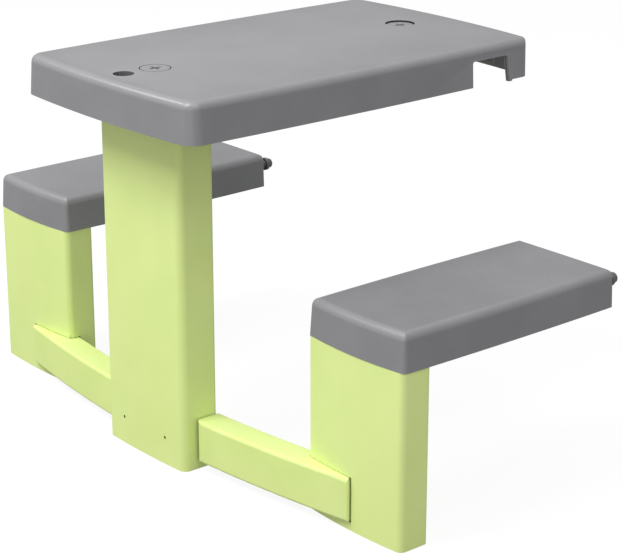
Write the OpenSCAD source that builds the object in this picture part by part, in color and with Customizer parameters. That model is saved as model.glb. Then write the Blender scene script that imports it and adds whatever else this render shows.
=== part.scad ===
// Kids picnic table that hooks over the low wall of a playhouse. All lengths are in millimetres.
// X runs across the table, Y from the free front end to the wall end, and Z up from the floor.
// The origin is on the floor, under the middle of the table top.

/* [Table top] */
// Height of the table top above the floor
table_h = 480; // [450:1:520]
// Length of the table top, with its bows
top_len = 544; // [520:1:570]
// Width of the table top at the foot of its skirt, across its middle
top_w = 340; // [320:1:370]
// Depth of the skirt
top_skirt_h = 48.5; // [46:0.5:54]
// Wall of the table top
top_wall = 3.6; // [3:0.1:4.2]
// How far the front edge bows out at its middle
top_bow = 8.3; // [4:0.1:12]
// How far the long sides bow out at their middle
top_side_bow = 4.8; // [2:0.1:8]
// How far the back edge bows out at its middle
top_back_bow = 10.2; // [4:0.1:14]
// Radius of the front corners in plan
top_corner_r = 20; // [16:0.5:30]
// Radius of the back corners in plan
top_back_r = 12; // [9:0.5:16]
// Depth of the ribs under the plate, which end level with the roof of the wall slot
rib_h = 13.2; // [10:0.1:15]
// Thickness of a rib
rib_t = 3; // [2:0.25:4]
// Radius of the rounded top edge at the front and sides, on the table top and the seats
edge_r = 10; // [9:0.25:12]
// Radius of the top edge at the back
back_edge_r = 5; // [4.5:0.25:7]
// How far the front and side skirts lean outwards towards their feet, in degrees
skirt_lean = 3.6; // [1:0.1:4.5]

/* [Wall slot] */
// Width of the wall slot at the foot of the skirt
slot_w = 64.6; // [58:0.2:68]
// How far the near side of the slot leans in towards its roof, in degrees
slot_near_draft = 1; // [0.5:0.25:3]
// How far its far side leans in, in degrees
slot_far_draft = 6; // [1:0.5:8]
// Radius in the slot's upper corners
slot_r = 3; // [1:0.5:5]
// Distance from the slot to the back edge's middle
lip_len = 44; // [40:0.2:52]
// Thickness of the web that backs the skirt along each side of the slot
web_t = 2.4; // [2:0.1:4]
// Length of that web, away from the slot
web_len = 6.5; // [5:0.5:10]
// Width of the groove between the web and the skirt
groove_w = 0.8; // [0.6:0.1:1.4]
// Depth of that groove
groove_deep = 4; // [2:0.5:4.5]
// How far the far web hangs below the skirt
hook_drop = 2.3; // [1:0.1:4]

/* [Pole hole] */
// Diameter of the hole for a pole
pole_d = 25; // [20:0.5:30]
// Distance from the front edge to the middle of the pole hole
pole_in = 37.3; // [34:0.1:37.5]
// Wall of the collar under the pole hole
pole_collar_t = 3; // [2:0.25:4]
// Depth of that collar below the plate
pole_collar_h = 12; // [6:0.5:14]

/* [Bolts] */
// Diameter of a bolt's head
bolt_head_d = 35.6; // [30:0.2:40]
// Thickness of a bolt's head
bolt_head_t = 4; // [3:0.25:5]
// Gap all round a bolt's head
bolt_gap = 1.2; // [0.6:0.1:2]
// Diameter of a bolt's shank
bolt_d = 10; // [8:0.5:12]
// Length of a bolt under its head
bolt_len = 46; // [40:1:54]
// Diameter of the thicker neck under a bolt's head
bolt_neck_d = 12; // [11:0.25:14]
// How far the wall bolt's neck reaches out of its sleeve into the wall slot
bolt_neck_out = 0.5; // [0.2:0.1:1.5]
// Span of the cross slot in a bolt's head
cross_span = 16; // [12:0.5:20]
// Width of the cross slot
cross_w = 3; // [2:0.25:4]
// Depth of the cross slot
cross_deep = 2.4; // [1.5:0.1:2.8]
// How far the wall bolt's head lies below the table top
wall_bolt_sink = 2; // [0.5:0.25:3]
// How far the post bolt stands behind the middle of the post
post_bolt_back = 4; // [0:0.5:6]
// Thickness of the plate under a bolt's head
seat_plate_t = 4; // [3:0.25:5]

/* [Centre post] */
// Width of the centre post
post_w = 157.4; // [140:0.2:176]
// Depth of the centre post, with its bow
post_d = 53.4; // [51:0.2:60]
// How far its front bows out
post_bow = 2.4; // [1:0.2:5]
// Radius of its front edges
post_front_r = 10; // [6:0.5:12]
// Radius of its back edges
post_back_r = 5; // [2:0.5:8]
// Wall of the posts
post_wall = 4; // [3:0.25:4.5]
// Distance from the front of the table top to the front of the post
post_in = 51.2; // [51:0.2:60]
// How far the neck at the top of a post is drawn in
neck_in = 8; // [6.5:0.25:9]
// Height of the centre post's neck
neck_h = 15; // [12:0.5:18]
// Outer diameter of the bolt's threaded tube inside the neck
bolt_tube_d = 20; // [16:0.5:24]
// Height of that tube
bolt_tube_h = 34; // [26:1:40]

/* [Seats] */
// Height of the seats above the floor
seat_h = 258; // [240:1:290]
// Length of a seat, with its bows
seat_len = 336.5; // [320:0.5:356]
// Width of a seat at the foot of its skirt, across its middle
seat_w = 164; // [163:0.5:180]
// Depth of a seat's skirt
seat_skirt_h = 45.2; // [42:0.2:50]
// Wall of a seat
seat_wall = 4; // [3:0.25:4.5]
// How far the front edge of a seat bows out
seat_bow = 5.3; // [4.5:0.1:8]
// How far the long sides of a seat bow out
seat_side_bow = 2.2; // [0.5:0.1:2.4]
// How far the back edge of a seat bows out
seat_back_bow = 0.6; // [0.3:0.1:2]
// Radius of a seat's front corners in plan
seat_corner_r = 7; // [5:0.25:9]
// Radius of a seat's back corners in plan
seat_back_r = 2; // [1:0.5:4]
// Distance from the middle of the table to the middle of a seat
seat_out = 323.8; // [310:0.2:345]
// Distance from the front of the table top to the front of a seat
seat_in = 103.7; // [90:0.1:110]
// Depth of the ribs under a seat
seat_rib_h = 12; // [8:0.5:14]

/* [Seat posts] */
// Width of a seat post
seat_post_w = 158.6; // [146:0.2:159]
// Depth of a seat post, with its bow
seat_post_d = 45; // [44:0.2:52]
// How far its front bows out
seat_post_bow = 4.2; // [2:0.1:5]
// Radius of its front edges
seat_post_front_r = 8; // [5:0.5:10]
// Radius of its back edges
seat_post_back_r = 5; // [2:0.5:8]
// How far its front stands behind the front of the seat
seat_post_in = 0.6; // [0.4:0.1:3]
// Height of its neck inside the seat
seat_neck_h = 26; // [22:0.5:30]

/* [Foot beams] */
// Height of a beam
beam_h = 54; // [48:0.5:60]
// Height of a beam above the floor
beam_z = 10.8; // [9:0.2:16]
// Thickness of a beam, front to back
beam_d = 35.5; // [34:0.5:38]
// How far a beam sweeps back, in degrees
beam_sweep = 6.7; // [5:0.1:8]
// How far its front bows out at its middle
beam_bow = 4; // [2:0.5:5]
// Radius along a beam's front edges
beam_edge_r = 4.5; // [3:0.5:7]
// Radius along its back edges
beam_back_r = 2; // [1:0.5:4]
// Radius of the shoulder where it meets the centre post
beam_shoulder_r = 9; // [6:0.5:10]
// Radius of the edges and corners at its far end
beam_end_r = 3; // [2:0.5:5]
// Width and depth of the shadow groove round it, where it meets the centre post
beam_seam = 1.5; // [0.8:0.1:2.5]
// Gap round a beam in the seat post's pocket
pocket_gap = 0.7; // [0.4:0.1:1]
// Wall of a beam
beam_wall = 3.5; // [2.5:0.25:4]
// How far a beam's front stands behind the centre post's front
beam_in = 19.6; // [17:0.2:21]
// How far a beam reaches across the front of the seat post
beam_lap = 79.5; // [70:0.5:86]
// Depth of a beam's tenon, front to back
tenon_d = 20; // [16:0.5:21]
// How much lower than the beam the tenon is, at the top and at the foot
tenon_in = 6; // [4:0.5:8]
// How far the tenon reaches into the post
tenon_len = 44; // [38:0.5:46]

/* [Screws] */
// Diameter of a screw's shank
screw_d = 4; // [3:0.25:5]
// Diameter of a screw's head
screw_head_d = 8; // [7:0.25:9]
// Thickness of a screw's head
screw_head_t = 2.6; // [2:0.1:3]
// Outer diameter of a screw's boss
boss_d = 11; // [10:0.5:13]
// Diameter of the access hole for a screw's head
access_d = 10; // [9.5:0.25:11]
// Height of the post's foot screws above the floor
foot_screw_z = 35; // [30:0.5:40]
// Distance of those screws from the middle of the post
foot_screw_x = 42.2; // [40:0.2:50]
// Diameter of their pilot holes in the front of the post
pilot_d = 4; // [3:0.1:4.5]
// Length of the screws at a beam's far end
end_screw_len = 20; // [16:0.5:24]
// Thickness of the seat post under their heads
end_screw_floor = 5; // [4:0.25:6]

/* [Wall pegs] */
// Distance between the two pegs of a seat
peg_pitch = 105; // [90:0.5:120]
// Diameter of a peg's shaft
peg_d = 11; // [9:0.5:13]
// Diameter of a peg's collar
collar_d = 17.8; // [15:0.2:19]
// Thickness of the collar
collar_t = 4.4; // [3:0.2:6]
// Diameter of the groove between the collar and the head
peg_neck_d = 8.6; // [6:0.2:8.8]
// Diameter of a peg's head
peg_head_d = 13.2; // [11:0.2:14]
// Length of a peg's head
peg_head_t = 6; // [4:0.2:7]
// Width of the groove
peg_groove_w = 1.6; // [1:0.2:3]
// How far a peg stands out of the seat
peg_reach = 32; // [28:0.5:38]
// Length of a peg's root inside the seat
peg_root = 16; // [12:0.5:20]
// Outer diameter of the socket that holds the root
peg_socket_d = 18; // [17:0.5:22]

/* [Hidden] */

$fn = 64;
grey = "#98989A";
dark_grey = "#5E5E60";
green = "#D3E68C";
steel = "#B9BCC0";

// Cuts run past the surface they open by this much
overrun = 1;
// A slice of a hulled form is this thick
sheet = 0.02;
// No inset corner gets sharper than this
least_r = 0.5;
// Gap between pieces that fit into each other
fit = 0.3;
// Gap round a screw, a bolt or a peg in its hole
hole_gap = 0.1;
// Steps of the hulled forms along half a bow, a corner and the rounded top edge
bow_steps = 6;
corner_steps = 7;
edge_steps = 6;
// A bow is far flatter than a corner, so its circle gets more steps
bow_fn = 720;
// A plan that only trims a bowed form's ends stands off from its sides by this much
bow_slack = 0.05;
// Steps of the circles at a beam's long edges
section_fn = 32;
// The wedge that keeps a bow's front part of the circle reaches past it by this share
wedge_share = 1.1;

// Table top: where its front, foot, underside and rib feet lie
top_front_y = -top_len / 2;
top_foot_z = table_h - top_skirt_h;
top_under_z = table_h - top_wall;
// Pieces under the table top reach this far up into its plate
top_in_z = top_under_z + sheet;
rib_foot_z = top_under_z - rib_h;
slot_y1 = top_front_y + top_len - lip_len;
slot_y0 = slot_y1 - slot_w;
// Ribs along the table top, as shares of its width, and across it, as shares of its length
top_rib_x_shares = [-0.36, -0.2, 0.2, 0.36];
top_rib_y_shares = [0.27, 0.42, 0.57, 0.72, 0.9];

// Pole hole
pole_y = top_front_y + pole_in;
pole_collar_foot_z = top_under_z - pole_collar_h;

// Bolts
recess_d = bolt_head_d + 2 * bolt_gap;
dish_d = recess_d + 2 * top_wall;
post_bolt_y = top_front_y + post_in + post_d / 2 + post_bolt_back;
post_bolt_top_z = table_h;
wall_bolt_y = (slot_y0 + slot_y1) / 2;
wall_bolt_top_z = table_h - wall_bolt_sink;
dish_foot_z = post_bolt_top_z - bolt_head_t - seat_plate_t;
bolt_sleeve_d = bolt_tube_d;
bolt_hole_d = bolt_neck_d + 2 * hole_gap;
// A bolt's neck tapers to its shank at 45 degrees
bolt_taper = (bolt_neck_d - bolt_d) / 2;
wall_bolt_neck_len = wall_bolt_top_z - bolt_head_t - rib_foot_z + bolt_neck_out;
post_bolt_neck_len = seat_plate_t - bolt_taper;

// Centre post: its front, and the heights of its shoulder and its neck's top
post_front_y = top_front_y + post_in;
post_back_y = post_front_y + post_d;
post_top_z = dish_foot_z;
shoulder_z = post_top_z - neck_h;
// The two webs inside a post stand at these shares of its width
post_web_shares = [-0.16, 0.16];
web_foot_gap = beam_z;

// Seats
seat_foot_z = seat_h - seat_skirt_h;
seat_under_z = seat_h - seat_wall;
seat_front_y = top_front_y + seat_in;
seat_back_y = seat_front_y + seat_len;
seat_rib_x_shares = [-0.25, 0.25];
seat_rib_y_shares = [0.36, 0.55, 0.74];
peg_z = seat_foot_z + seat_skirt_h / 2;
peg_hole_d = peg_d + 2 * hole_gap;
// Pieces under a seat reach this far up into its plate
seat_in_z = seat_under_z + sheet;

// Seat posts
seat_post_front_y = seat_front_y + seat_post_in;
seat_post_back_y = seat_post_front_y + seat_post_d;
seat_post_mid_y = (seat_post_front_y + seat_post_back_y) / 2;
seat_neck_top_z = seat_foot_z + seat_neck_h;
seat_neck_in_z = seat_neck_top_z - post_wall;
seat_post_web_shares = [-0.17, 0.17];
// The seat's screws stand at these shares of the seat post's width
seat_screw_shares = [-0.3, 0.3];
seat_screw_len = seat_under_z - seat_neck_top_z + post_wall - fit;

// Beams: a beam turns about the point where its front meets the centre post's side
beam_x = post_w / 2;
beam_front_y = post_front_y + beam_in;
beam_lean = tan(beam_sweep);
seat_post_inner_x = seat_out - seat_post_w / 2;
beam_len = (seat_post_inner_x + beam_lap - beam_x) / cos(beam_sweep);
// Its front and back are arcs round this point of its own frame
beam_big_r = bow_radius(beam_len, beam_bow);
beam_middle = beam_point(beam_len / 2, beam_big_r - beam_bow);
beam_rib_shares = [0.18, 0.36, 0.54, 0.72];
tenon_back_y = post_back_y - post_wall - fit;
tenon_front_y = tenon_back_y - tenon_d;
// The screws at a beam's far end stand at these shares of the lap on the seat post
end_screw_shares = [0.25, 0.76];
end_screw_z = beam_z + beam_h / 2;
// Holes for the screws' shanks
screw_hole_d = screw_d + 2 * hole_gap;
// Cross slot in a screw's head, as shares of the head's diameter
screw_slot_share = 0.55;
screw_slot_width_share = 0.14;

// Radius of the circle that bows out by bow over a chord w
function bow_radius(w, bow) = (w * w / 4 + bow * bow) / (2 * bow);

// Radius of a side arc that bows out by bow over the whole length d
function side_radius(d, bow) = (d * d / 4 + bow * bow) / (2 * bow);

// The middle of a circle that touches two others from inside, on the side that pick points to
function between(c1, r1, c2, r2, pick) =
    let (
        v = c2 - c1,
        d = norm(v),
        a = (d * d + r1 * r1 - r2 * r2) / (2 * d),
        h = sqrt(r1 * r1 - a * a),
        p = c1 + v * a / d,
        q = [-v[1], v[0]] * h / d
    )
    q * pick > 0 ? p + q : p - q;

// Direction from one point to another
function heading(c, p) = atan2(p[1] - c[1], p[0] - c[0]);

// Points along an arc
function arc_points(cx, cy, r, a0, a1, steps) = [
    for (k = [0 : steps])
        let (a = a0 + (a1 - a0) * k / steps)
        [cx + r * cos(a), cy + r * sin(a)]
];

// The same points mirrored in the Y axis, in reverse order
function mirrored(points) = [
    for (k = [len(points) - 1 : -1 : 0])
        [-points[k][0], points[k][1]]
];

// Middle of a front corner's arc, which touches the bow and the side
function corner_x(w, r, inset) = w / 2 - inset - r;
function corner_y(w, bow, r, inset) =
    let (big = bow_radius(w, bow), x = corner_x(w, r, inset))
    big - sqrt(pow(big - inset - r, 2) - x * x);

// Direction, from the bow's centre, in which the bow hands over to the corner
function corner_turn(w, bow, r, inset) =
    atan2(corner_y(w, bow, r, inset) - bow_radius(w, bow), corner_x(w, r, inset));

// Outline whose four sides all bow out. The front's middle is the origin and the back's is at y = d.
// bows holds front, side and back; radii holds front and back; drawn in by inset, and by back_inset there
function pillow_outline(w, d, bows, radii, inset, back_inset) =
    let (
        chord = w - 2 * bows[1],
        rf = bow_radius(chord, bows[0]),
        rs = side_radius(d, bows[1]),
        rb = bow_radius(chord, bows[2]),
        cf = [0, rf],
        cs = [w / 2 - rs, d / 2],
        cb = [0, d - rb],
        fr = max(radii[0] - inset, least_r),
        br = max(radii[1] - inset, least_r),
        f = between(cf, rf - inset - fr, cs, rs - inset - fr, [1, -1]),
        b = between(cb, rb - back_inset - br, cs, rs - inset - br, [1, 1]),
        half = concat(
            arc_points(0, rf, rf - inset, -90, heading(cf, f), bow_steps),
            arc_points(f[0], f[1], fr, heading(cf, f), heading(cs, f), corner_steps),
            arc_points(cs[0], cs[1], rs - inset, heading(cs, f), heading(cs, b), bow_steps),
            arc_points(b[0], b[1], br, heading(cs, b), heading(cb, b), corner_steps),
            arc_points(0, d - rb, rb - back_inset, heading(cb, b), 90, bow_steps)
        )
    )
    concat(half, mirrored(half));

// Outline with a bowed front through the origin and a straight back at y = d, drawn in by inset
module bowed_plan(w, d, bow, front_r, back_r, inset = 0) {
    big = bow_radius(w, bow);
    fr = max(front_r - inset, least_r);
    br = max(back_r - inset, least_r);
    fx = corner_x(w, fr, inset);
    fy = corner_y(w, bow, fr, inset);
    turn = corner_turn(w, bow, fr, inset);
    bx = w / 2 - inset - br;
    by = d - inset - br;
    tip_x = (big - inset) * cos(turn);
    tip_y = big + (big - inset) * sin(turn);
    wedge_x = wedge_share * big * cos(turn);
    wedge_y = big + wedge_share * big * sin(turn);
    intersection() {
        translate([0, big])
            circle(big - inset, $fn = bow_fn);
        polygon([[-tip_x, tip_y], [-wedge_x, wedge_y], [wedge_x, wedge_y], [tip_x, tip_y]]);
    }
    for (side = [-1, 1]) {
        translate([side * fx, fy])
            circle(fr);
        translate([side * bx, by])
            circle(br);
    }
    half = [
        [tip_x, tip_y],
        [fx, fy],
        [fx + fr, fy],
        [bx + br, by],
        [bx, by],
        [bx, by + br]
    ];
    polygon(concat(half, mirrored(half)));
}

// A moulded shell's form, drawn in by inset: leaning skirts at the front and sides, rounded top edges
module shell_form(w, d, h, bows, radii, inset, foot_z) {
    lean = (h - edge_r) * tan(skirt_lean);
    r = edge_r - inset;
    back_r = max(back_edge_r - inset, least_r);
    hull() {
        translate([0, 0, foot_z])
            linear_extrude(height = sheet)
                polygon(pillow_outline(w, d, bows, radii, inset, inset));
        for (k = [0 : edge_steps]) {
            a = 90 * k / edge_steps;
            z = h - edge_r + r * sin(a);
            up = max(z + back_r - (h - inset), 0);
            back_in = inset + back_r - sqrt(max(back_r * back_r - up * up, 0));
            translate([0, 0, z - sheet])
                linear_extrude(height = sheet)
                    polygon(pillow_outline(w, d, bows, radii, inset + lean + r * (1 - cos(a)), back_in));
        }
    }
}

module top_form(inset, foot_z) {
    translate([0, top_front_y, top_foot_z])
        shell_form(
            top_w,
            top_len,
            top_skirt_h,
            [top_bow, top_side_bow, top_back_bow],
            [top_corner_r, top_back_r],
            inset,
            foot_z
        );
}

module seat_form(inset, foot_z) {
    translate([0, seat_front_y, seat_foot_z])
        shell_form(
            seat_w,
            seat_len,
            seat_skirt_h,
            [seat_bow, seat_side_bow, seat_back_bow],
            [seat_corner_r, seat_back_r],
            inset,
            foot_z
        );
}

// A box between two corners
module block(low, high) {
    translate(low)
        cube(high - low);
}

// Side view of the wall slot, in Y and Z: it narrows upwards and has round upper corners
module slot_profile() {
    roof_z = rib_foot_z;
    rise = roof_z - slot_r - top_foot_z;
    drop = hook_drop + overrun;
    near = rise * tan(slot_near_draft);
    far = rise * tan(slot_far_draft);
    y0 = slot_y0 + near;
    y1 = slot_y1 - far;
    polygon([
        [slot_y0 - drop * tan(slot_near_draft), top_foot_z - drop],
        [slot_y1 + drop * tan(slot_far_draft), top_foot_z - drop],
        [y1, roof_z - slot_r],
        [y1 - slot_r, roof_z - slot_r],
        [y1 - slot_r, roof_z],
        [y0 + slot_r, roof_z],
        [y0 + slot_r, roof_z - slot_r],
        [y0, roof_z - slot_r]
    ]);
    for (y = [y0 + slot_r, y1 - slot_r])
        translate([y, roof_z - slot_r])
            circle(slot_r);
}

// The slot, right across the table top
module wall_slot() {
    rotate([90, 0, 90])
        translate([0, 0, -top_w / 2 - overrun])
            linear_extrude(height = top_w + 2 * overrun)
                slot_profile();
}

// Full-width blocks on both sides of the slot, reaching out from it by deep and into it by lap
module slot_sides(deep, lap, near_z, far_z, z1) {
    block([-top_w / 2, slot_y0 - deep, near_z], [top_w / 2, slot_y0 + lap, z1]);
    block([-top_w / 2, slot_y1 - lap, far_z], [top_w / 2, slot_y1 + deep, z1]);
}

// Webs that back the skirts along both sides of the slot
module slot_webs() {
    difference() {
        slot_sides(web_len, slot_r + overrun, top_foot_z, top_foot_z - hook_drop, top_under_z);
        top_form(top_wall + groove_w + web_t, -hook_drop - overrun);
    }
}

// Grooves between those webs and the skirts, open to the slot
module slot_grooves() {
    low_z = top_foot_z - hook_drop - overrun;
    intersection() {
        difference() {
            top_form(top_wall, -hook_drop - overrun);
            top_form(top_wall + groove_w, -hook_drop - 2 * overrun);
        }
        slot_sides(groove_deep, slot_r + overrun, low_z, low_z, rib_foot_z);
    }
}

// Ribs under the table top, before the shell trims them
module top_ribs() {
    for (share = top_rib_x_shares)
        block(
            [share * top_w - rib_t / 2, top_front_y, rib_foot_z],
            [share * top_w + rib_t / 2, top_front_y + top_len, top_in_z]
        );
    for (share = top_rib_y_shares)
        block(
            [-top_w / 2, top_front_y + share * top_len - rib_t / 2, rib_foot_z],
            [top_w / 2, top_front_y + share * top_len + rib_t / 2, top_in_z]
        );
}

// The box the centre post's neck takes, grown sideways by gap
module neck_box(gap, z0, z1) {
    half_w = post_w / 2 - neck_in + gap;
    block(
        [-half_w, post_front_y + neck_in - gap, z0],
        [half_w, post_back_y - neck_in + gap, z1]
    );
}

// Frame of ribs round that neck, standing on the post's shoulder
module neck_socket() {
    difference() {
        neck_box(fit + rib_t, shoulder_z, top_in_z);
        neck_box(fit, shoulder_z - overrun, top_under_z);
    }
}

// An upright tube or a disc at a place in plan
module upright(x, y, d, z0, z1) {
    translate([x, y, z0])
        cylinder(h = z1 - z0, d = d);
}

module tabletop() {
    color(grey)
    difference() {
        union() {
            difference() {
                top_form(0, 0);
                top_form(top_wall, -overrun);
            }
            intersection() {
                top_form(top_wall / 2, -hook_drop);
                union() {
                    top_ribs();
                    slot_webs();
                }
            }
            neck_socket();
            upright(0, post_bolt_y, dish_d, dish_foot_z, top_under_z + overrun);
            upright(0, wall_bolt_y, dish_d, dish_foot_z - wall_bolt_sink, top_under_z + overrun);
            upright(0, wall_bolt_y, bolt_sleeve_d, rib_foot_z, top_under_z);
            upright(0, pole_y, pole_d + 2 * pole_collar_t, pole_collar_foot_z, top_under_z);
        }
        wall_slot();
        slot_grooves();
        neck_box(fit, shoulder_z - overrun, post_top_z);
        upright(0, pole_y, pole_d, pole_collar_foot_z - overrun, table_h + overrun);
        upright(0, post_bolt_y, recess_d, post_bolt_top_z - bolt_head_t, table_h + overrun);
        upright(0, wall_bolt_y, recess_d, wall_bolt_top_z - bolt_head_t, table_h + overrun);
        upright(0, post_bolt_y, bolt_hole_d, dish_foot_z - overrun, table_h);
        upright(0, wall_bolt_y, bolt_hole_d, rib_foot_z - overrun, table_h);
    }
}

// A round-headed bolt that hangs from its head, whose top is at the origin
module big_bolt(neck_len) {
    bevel = bolt_head_t / 5;
    tip = bolt_d / 4;
    foot = bolt_head_t + bolt_len;
    difference() {
        rotate_extrude()
            polygon([
                [0, 0],
                [bolt_head_d / 2 - bevel, 0],
                [bolt_head_d / 2, -bevel],
                [bolt_head_d / 2, -bolt_head_t],
                [bolt_neck_d / 2, -bolt_head_t],
                [bolt_neck_d / 2, -bolt_head_t - neck_len],
                [bolt_d / 2, -bolt_head_t - neck_len - bolt_taper],
                [bolt_d / 2, tip - foot],
                [bolt_d / 2 - tip, -foot],
                [0, -foot]
            ]);
        for (turn = [0, 90])
            rotate([0, 0, turn])
                block(
                    [-cross_span / 2, -cross_w / 2, -cross_deep],
                    [cross_span / 2, cross_w / 2, overrun]
                );
    }
}

module tabletop_post_bolt() {
    color(grey)
    translate([0, post_bolt_y, post_bolt_top_z])
        big_bolt(post_bolt_neck_len);
}

module tabletop_wall_bolt() {
    color(grey)
    translate([0, wall_bolt_y, wall_bolt_top_z])
        big_bolt(wall_bolt_neck_len);
}

// A solid post section between two heights
module post_prism(inset, z0, z1) {
    translate([0, post_front_y, z0])
        linear_extrude(height = z1 - z0)
            bowed_plan(post_w, post_d, post_bow, post_front_r, post_back_r, inset);
}

// A cylinder along Y at a place in X and Z
module along_y(x, z, d, y0, y1) {
    translate([x, y0, z])
        rotate([-90, 0, 0])
            cylinder(h = y1 - y0, d = d);
}

// A web inside a post at x, from its front wall to its back wall and up to its shoulder
module post_web(x, front_y, back_y, top_z) {
    block(
        [x - rib_t / 2, front_y + post_wall, web_foot_gap],
        [x + rib_t / 2, back_y - post_wall / 2, top_z - post_wall / 2]
    );
}

// The space a beam's tenon takes, grown by a gap
module tenon_space(side, gap) {
    reach = beam_x - tenon_len;
    block(
        [side > 0 ? reach - gap : -beam_x - overrun, tenon_front_y - gap, beam_z + tenon_in - gap],
        [side > 0 ? beam_x + overrun : gap - reach, tenon_back_y + gap, beam_z + beam_h - tenon_in + gap]
    );
}

module centre_post() {
    color(green)
    difference() {
        union() {
            difference() {
                union() {
                    post_prism(0, 0, shoulder_z);
                    post_prism(neck_in, shoulder_z - overrun, post_top_z);
                }
                post_prism(post_wall, -overrun, shoulder_z - post_wall);
                post_prism(neck_in + post_wall, shoulder_z - 2 * post_wall, post_top_z - post_wall);
            }
            for (share = post_web_shares)
                post_web(share * post_w, post_front_y, post_back_y, shoulder_z);
            upright(0, post_bolt_y, bolt_tube_d, post_top_z - bolt_tube_h, post_top_z - post_wall / 2);
            for (x = [-foot_screw_x, foot_screw_x])
                along_y(x, foot_screw_z, boss_d, post_front_y + post_wall, tenon_front_y - fit);
        }
        for (side = [-1, 1])
            tenon_space(side, fit);
        upright(0, post_bolt_y, bolt_d + 2 * hole_gap, shoulder_z - bolt_tube_h, post_top_z + overrun);
        for (x = [-foot_screw_x, foot_screw_x]) {
            along_y(x, foot_screw_z, pilot_d, post_front_y - overrun, tenon_front_y);
            along_y(x, foot_screw_z, screw_hole_d, post_front_y + 2 * post_wall, post_back_y + overrun);
        }
    }
}

// A point of the beam's own frame, which starts at the centre post, in plan
function beam_point(along, back) = [
    beam_x + along * cos(beam_sweep) - back * sin(beam_sweep),
    beam_front_y + along * sin(beam_sweep) + back * cos(beam_sweep)
];

// Where the circle of radius r round that middle point passes x, on its front side
function beam_arc(x, r) = beam_middle[1] - sqrt(r * r - pow(x - beam_middle[0], 2));

// Front and back of a beam at that distance
function beam_front(x) = beam_arc(x, beam_big_r);
function beam_back(x) = beam_arc(x, beam_big_r - beam_d);

// The middle of a circle at the beam's far end: r from that end, and far from the beam's middle point
function end_round(r, far) = let (along = beam_len / 2 - r)
    beam_point(beam_len - r, beam_big_r - beam_bow - sqrt(far * far - along * along));

// Plan of the right beam without its tenon, grown by a gap. Slack moves its arcs out but not its ends
module beam_plan(gap, slack = 0) {
    sr = beam_shoulder_r;
    er = beam_end_r + gap;
    front_r = beam_big_r + gap + slack;
    back_r = beam_big_r - beam_d - gap - slack;
    shoulder = [beam_x + sr, beam_arc(beam_x + sr, beam_big_r - sr)];
    front_end = end_round(beam_end_r, beam_big_r - beam_end_r);
    back_end = end_round(beam_end_r, beam_big_r - beam_d + beam_end_r);
    along = [cos(beam_sweep), sin(beam_sweep)];
    a0 = heading(beam_middle, shoulder);
    a1 = heading(beam_middle, front_end);
    b1 = heading(beam_middle, back_end);
    b0 = heading(beam_middle, [beam_x - gap, beam_arc(beam_x - gap, back_r)]);
    translate(shoulder)
        circle(sr + gap);
    for (round_end = [front_end, back_end])
        translate(round_end)
            circle(er);
    polygon(concat(
        [[beam_x - gap, shoulder[1]], shoulder],
        arc_points(beam_middle[0], beam_middle[1], front_r, a0, a1, 2 * bow_steps),
        [front_end, front_end + er * along, back_end + er * along, back_end],
        arc_points(beam_middle[0], beam_middle[1], back_r, b1, b0, 2 * bow_steps)
    ));
}

// A rectangle with one radius on its front corners and another on its back ones
module rounded_section(d, h, front_r, back_r) {
    for (z = [front_r, h - front_r])
        translate([front_r, z])
            circle(front_r, $fn = section_fn);
    for (z = [back_r, h - back_r])
        translate([d - back_r, z])
            circle(back_r, $fn = section_fn);
    polygon([
        [front_r, 0],
        [d - back_r, 0],
        [d - back_r, back_r],
        [d, back_r],
        [d, h - back_r],
        [d - back_r, h - back_r],
        [d - back_r, h],
        [front_r, h],
        [front_r, h - front_r],
        [0, h - front_r],
        [0, front_r],
        [front_r, front_r]
    ]);
}

// Turns a section, drawn in Y and Z with the beam's front foot as its origin, along the beam's bow
module along_beam() {
    half_turn = asin(wedge_share * beam_len / 2 / beam_big_r);
    translate([beam_middle[0], beam_middle[1], beam_z])
        rotate([0, 0, beam_sweep - 90 - half_turn])
            rotate_extrude(angle = 2 * half_turn, $fn = bow_fn)
                translate([beam_big_r, 0])
                    mirror([1, 0])
                        children();
}

// A beam-long bar of the beam's section, drawn in by inset
module beam_bar(inset) {
    along_beam()
        translate([inset, inset])
            rounded_section(
                beam_d - 2 * inset,
                beam_h - 2 * inset,
                max(beam_edge_r - inset, least_r),
                max(beam_back_r - inset, least_r)
            );
}

// Front view of a beam with round far corners, right through it
module beam_face() {
    translate([beam_x, beam_front_y, beam_z])
        rotate([0, 0, beam_sweep])
            translate([-beam_d, beam_d + overrun, 0])
                rotate([90, 0, 0])
                    linear_extrude(height = beam_d + beam_bow + 2 * overrun)
                        rounded_section(beam_d + beam_len, beam_h, least_r, beam_end_r);
}

// Outside of the right beam, with the shadow groove beside the centre post
module beam_outside() {
    difference() {
        intersection() {
            translate([0, 0, beam_z])
                linear_extrude(height = beam_h)
                    beam_plan(0, bow_slack);
            beam_bar(0);
            beam_face();
        }
        difference() {
            block(
                [beam_x - overrun, beam_front_y - beam_d, beam_z - overrun],
                [beam_x + beam_seam, beam_front_y + 2 * beam_d, beam_z + beam_h + overrun]
            );
            beam_bar(beam_seam);
        }
    }
}

// Hollow of the right beam, open at the foot, between its cross ribs
module beam_hollow() {
    start = beam_d * beam_lean + beam_wall + beam_seam;
    inside_h = beam_h - beam_wall + overrun;
    difference() {
        along_beam()
            translate([beam_wall, -overrun])
                square([beam_d - 2 * beam_wall, inside_h]);
        translate([beam_x, beam_front_y, beam_z])
            rotate([0, 0, beam_sweep]) {
                for (x = [start - beam_len, beam_len - beam_wall])
                    block([x, -beam_d, -2 * overrun], [x + beam_len, 2 * beam_d, beam_h]);
                for (share = beam_rib_shares)
                    block(
                        [share * beam_len - rib_t / 2, -beam_d, -2 * overrun],
                        [share * beam_len + rib_t / 2, 2 * beam_d, beam_h]
                    );
            }
    }
}

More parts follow.
